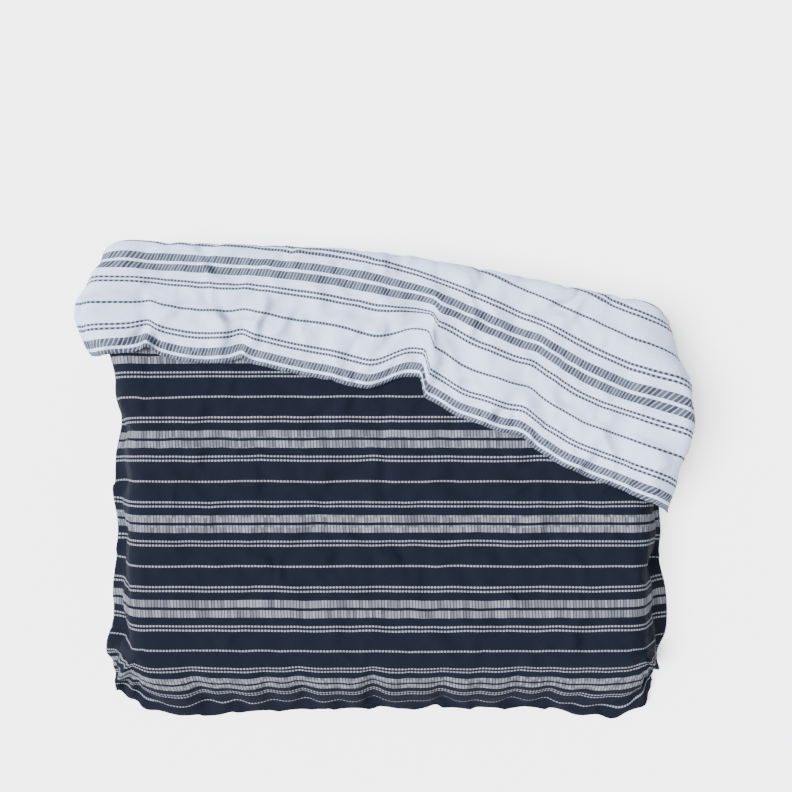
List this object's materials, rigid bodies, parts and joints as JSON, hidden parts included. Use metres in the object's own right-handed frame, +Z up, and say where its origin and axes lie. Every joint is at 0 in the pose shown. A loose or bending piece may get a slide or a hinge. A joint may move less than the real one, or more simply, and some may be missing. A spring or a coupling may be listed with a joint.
{
  "type": "duvet on a bed",
  "caption": "Filled double duvet in a striped zipped cotton cover, laid over a mattress with its head end turned back.",
  "frame": {"origin": "the middle of the mattress top, on the flat underside of the duvet that rests on it", "axes": "+Z up from the mattress, +Y towards the head of the bed, +X to the right of someone looking from the foot"},
  "size_m": [2.1259, 1.7478, 0.294],
  "materials": {
    "navy_stripe_cotton": "matte",
    "white_stripe_cotton": "matte",
    "ticking": "matte",
    "baffle_tape": "matte",
    "fibre_filling": "matte",
    "tie_cotton": "matte",
    "label_satin": "satin",
    "zip_tape": "matte",
    "zip_nylon": "satin",
    "zip_metal": "satin"
  },
  "bodies": {
    "duvet": {"cover_front_panel": "navy_stripe_cotton", "cover_back_panel": "white_stripe_cotton", "insert_top_ticking": "ticking", "insert_bottom_ticking": "ticking", "insert_gusset": "baffle_tape", "insert_baffles": "baffle_tape", "care_label": "label_satin", "zip_tape_upper": "zip_tape", "zip_tape_lower": "zip_tape", "zip_coil_upper": "zip_nylon", "zip_coil_lower": "zip_nylon", "zip_stop_closed": "zip_metal", "zip_stop_open": "zip_metal", "cover_tie_foot_left": "tie_cotton", "insert_loop_foot_left": "tie_cotton", "cover_tie_foot_right": "tie_cotton", "insert_loop_foot_right": "tie_cotton", "cover_tie_head_left": "tie_cotton", "insert_loop_head_left": "tie_cotton", "cover_tie_head_right": "tie_cotton", "insert_loop_head_right": "tie_cotton", "fill_row1_cassette1": "fibre_filling", "fill_row1_cassette2": "fibre_filling", "fill_row1_cassette3": "fibre_filling", "fill_row1_cassette4": "fibre_filling", "fill_row1_cassette5": "fibre_filling", "fill_row1_cassette6": "fibre_filling", "fill_row2_cassette1": "fibre_filling", "fill_row2_cassette2": "fibre_filling", "fill_row2_cassette3": "fibre_filling", "fill_row2_cassette4": "fibre_filling", "fill_row2_cassette5": "fibre_filling", "fill_row2_cassette6": "fibre_filling", "fill_row3_cassette1": "fibre_filling", "fill_row3_cassette2": "fibre_filling", "fill_row3_cassette3": "fibre_filling", "fill_row3_cassette4": "fibre_filling", "fill_row3_cassette5": "fibre_filling", "fill_row3_cassette6": "fibre_filling", "fill_row4_cassette1": "fibre_filling", "fill_row4_cassette2": "fibre_filling", "fill_row4_cassette3": "fibre_filling", "fill_row4_cassette4": "fibre_filling", "fill_row4_cassette5": "fibre_filling", "fill_row4_cassette6": "fibre_filling", "fill_row5_cassette1": "fibre_filling", "fill_row5_cassette2": "fibre_filling", "fill_row5_cassette3": "fibre_filling", "fill_row5_cassette4": "fibre_filling", "fill_row5_cassette5": "fibre_filling", "fill_row5_cassette6": "fibre_filling"},
    "slider": {"zip_slider": "zip_metal"},
    "pull": {"zip_pull": "zip_metal"}
  },
  "joints": [
    {"name": "zip_slide", "type": "slide", "parent": "duvet", "child": "slider", "axis": [1, 0, 0], "range_m": [0, 1.1788]},
    {"name": "pull_hinge", "type": "hinge", "parent": "slider", "child": "pull", "pos_m": [-0.5894, -1.15298, -0.14903], "axis": [0, 0.788, 0.6157], "range_deg": [-85, 85]}
  ]
}
